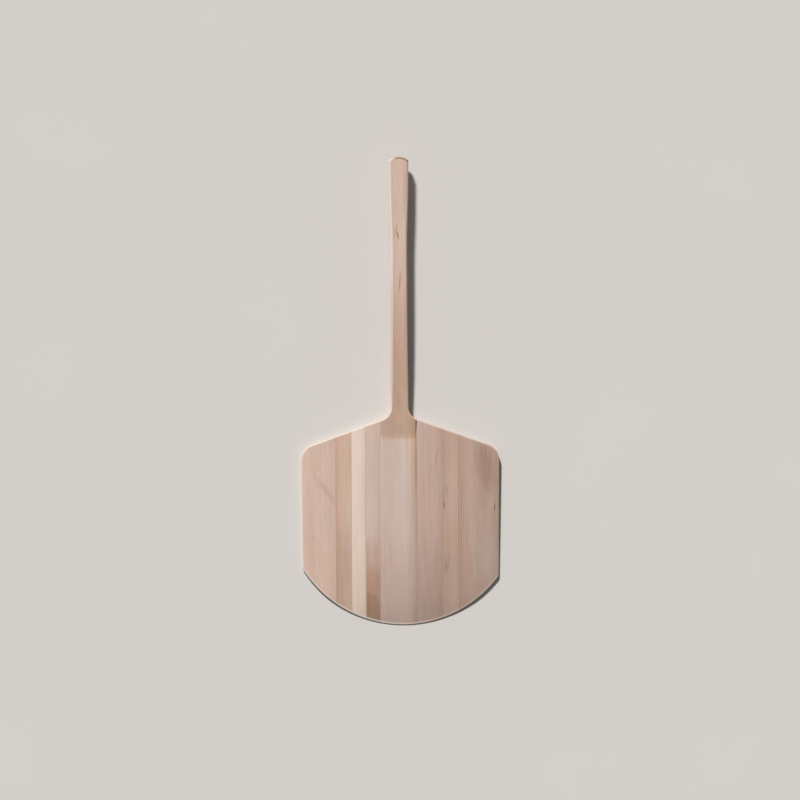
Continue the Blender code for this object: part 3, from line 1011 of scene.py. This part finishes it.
def glue_material():
    glue = Shading("dried_wood_glue")
    lumps = glue.noise(glue.stretched(glue.place, GLUE_DRAWN_OUT), *GLUE_LUMPS)
    tones = glue.ramp(lumps, list(zip(NOISE_SPREAD, GLUE_TONES)), "LINEAR")
    glue.feed(glue.shader.inputs["Base Color"], tones)
    glue.feed(glue.shader.inputs["Roughness"], glue.span(lumps, *NOISE_SPREAD, *GLUE_ROUGHNESS))
    relief = glue.bump(lumps, GLUE_RELIEF_DEPTH, GLUE_RELIEF_STRENGTH)
    glue.feed(glue.shader.inputs["Normal"], relief)
    return glue.material


def floor_material():
    floor = Shading("studio_floor_paint")
    cloud = floor.noise(floor.place, *FLOOR_CLOUD)
    tones = floor.ramp(cloud, list(zip(NOISE_SPREAD, FLOOR_TONES)), "LINEAR")
    floor.feed(floor.shader.inputs["Base Color"], tones)
    floor.shader.inputs["Specular IOR Level"].default_value = 0.0
    floor.feed(floor.shader.inputs["Roughness"], floor.span(cloud, *NOISE_SPREAD, *FLOOR_ROUGHNESS))
    return floor.material


# ---- pieces -------------------------------------------------------------------------------------
STAVE_REACH = 0.480  # a stave's blank runs from the front to past the shoulders' highest point
OUTER_LEFT = "left_stave_4"
OUTER_RIGHT = "right_stave_4"


def make_pieces(frame, bounds):
    """Every board and every glue line, cut between its own two sides from the form of the whole peel."""
    low, high = bounds
    front = low.y
    length = high.y - low.y
    blade = blade_profiles(length)
    handle = handle_profiles(length, high.z)
    blade_form = peel_form("blade_form", blade, front)
    handle_form = peel_form("handle_form", handle, front)
    stave_reach = (-BLANK_TRIM, STAVE_REACH)
    handle_reach = (-BLANK_TRIM, length + BLANK_TRIM)

    names = sorted(frame["nodes"])
    boards = [name for name in names if "glue" not in name]
    for number, name in enumerate(boards, 1):
        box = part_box(name)
        left = box[0].x - (BLANK_TRIM if name == OUTER_LEFT else 0)
        right = box[1].x + (BLANK_TRIM if name == OUTER_RIGHT else 0)
        if name == "handle_board":
            reach, top, form = handle_reach, handle[1], handle_form
        else:
            reach, top, form = stave_reach, blade[1], blade_form
        board = cut_piece(f"{name}_wood", ((left, right), reach), top, form, front)
        board.data.materials.append(board_material(name, box, front, number))
        attach(board, name)

    glue = glue_material()
    for name in names:
        if "glue" not in name:
            continue
        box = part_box(name)
        limits = ((box[0].x, box[1].x), stave_reach)
        film = cut_piece(f"{name}_film", limits, blade[1], blade_form, front, film_section, GLUE_RECESS)
        film.data.materials.append(glue)
        attach(film, name)
    bpy.data.objects.remove(blade_form)
    bpy.data.objects.remove(handle_form)


def attach(piece, node):
    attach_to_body(piece, "root")
    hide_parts(node)


# ---- studio -------------------------------------------------------------------------------------
FLOOR_SIZE = 400.0
TO_KEY = Vector((-0.53, 1.50, 1.0)).normalized()
KEY_SPREAD = math.radians(7.6)
KEY_STRENGTH = 5.06
KEY_COLOUR = (1.0, 0.985, 0.965)
FILL_COLOUR = (0.97, 0.98, 1.0)
FILL_STRENGTH = 0.18
BACKDROP_COLOUR = (0.64, 0.61, 0.58)
LENS = 120.0
CAMERA_HEIGHT = 6.10
CAMERA_AIM = (0.0006, -0.0198)
CAMERA_ROLL = math.radians(-0.3)


def make_world():
    """A dome of soft fill light. The camera sees it as a pale backdrop."""
    world = bpy.data.worlds.new("soft_fill")
    world.use_nodes = True
    tree = world.node_tree
    fill = tree.nodes["Background"]
    fill.inputs["Color"].default_value = (*FILL_COLOUR, 1)
    fill.inputs["Strength"].default_value = FILL_STRENGTH
    backdrop = tree.nodes.new("ShaderNodeBackground")
    backdrop.inputs["Color"].default_value = (*BACKDROP_COLOUR, 1)
    choice = tree.nodes.new("ShaderNodeMixShader")
    tree.links.new(tree.nodes.new("ShaderNodeLightPath").outputs["Is Camera Ray"], choice.inputs[0])
    tree.links.new(fill.outputs[0], choice.inputs[1])
    tree.links.new(backdrop.outputs[0], choice.inputs[2])
    tree.links.new(choice.outputs[0], tree.nodes["World Output"].inputs["Surface"])
    bpy.context.scene.world = world


def make_studio():
    mesh = bmesh.new()
    bmesh.ops.create_grid(mesh, x_segments=1, y_segments=1, size=FLOOR_SIZE / 2)
    floor = linked_object("studio_floor", mesh)
    floor.data.materials.append(floor_material())

    key = bpy.data.lights.new("key", "SUN")
    key.angle = KEY_SPREAD
    key.energy = KEY_STRENGTH
    key.color = KEY_COLOUR
    key_object = bpy.data.objects.new("key", key)
    bpy.context.scene.collection.objects.link(key_object)
    key_object.rotation_euler = TO_KEY.to_track_quat("Z", "Y").to_euler()
    make_world()
    bpy.context.scene.view_settings.view_transform = "Standard"


def make_camera(centre):
    camera = bpy.data.cameras.new("camera")
    camera.lens = LENS
    camera_object = bpy.data.objects.new("camera", camera)
    bpy.context.scene.collection.objects.link(camera_object)
    camera_object.location = (centre.x + CAMERA_AIM[0], centre.y + CAMERA_AIM[1], CAMERA_HEIGHT)
    camera_object.rotation_euler = Euler((0, 0, CAMERA_ROLL))
    bpy.context.scene.camera = camera_object


def main():
    for old in list(bpy.data.objects):
        bpy.data.objects.remove(old)
    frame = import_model()
    cad_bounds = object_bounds()
    make_pieces(frame, cad_bounds)
    make_studio()
    make_camera((cad_bounds[0] + cad_bounds[1]) / 2)


main()
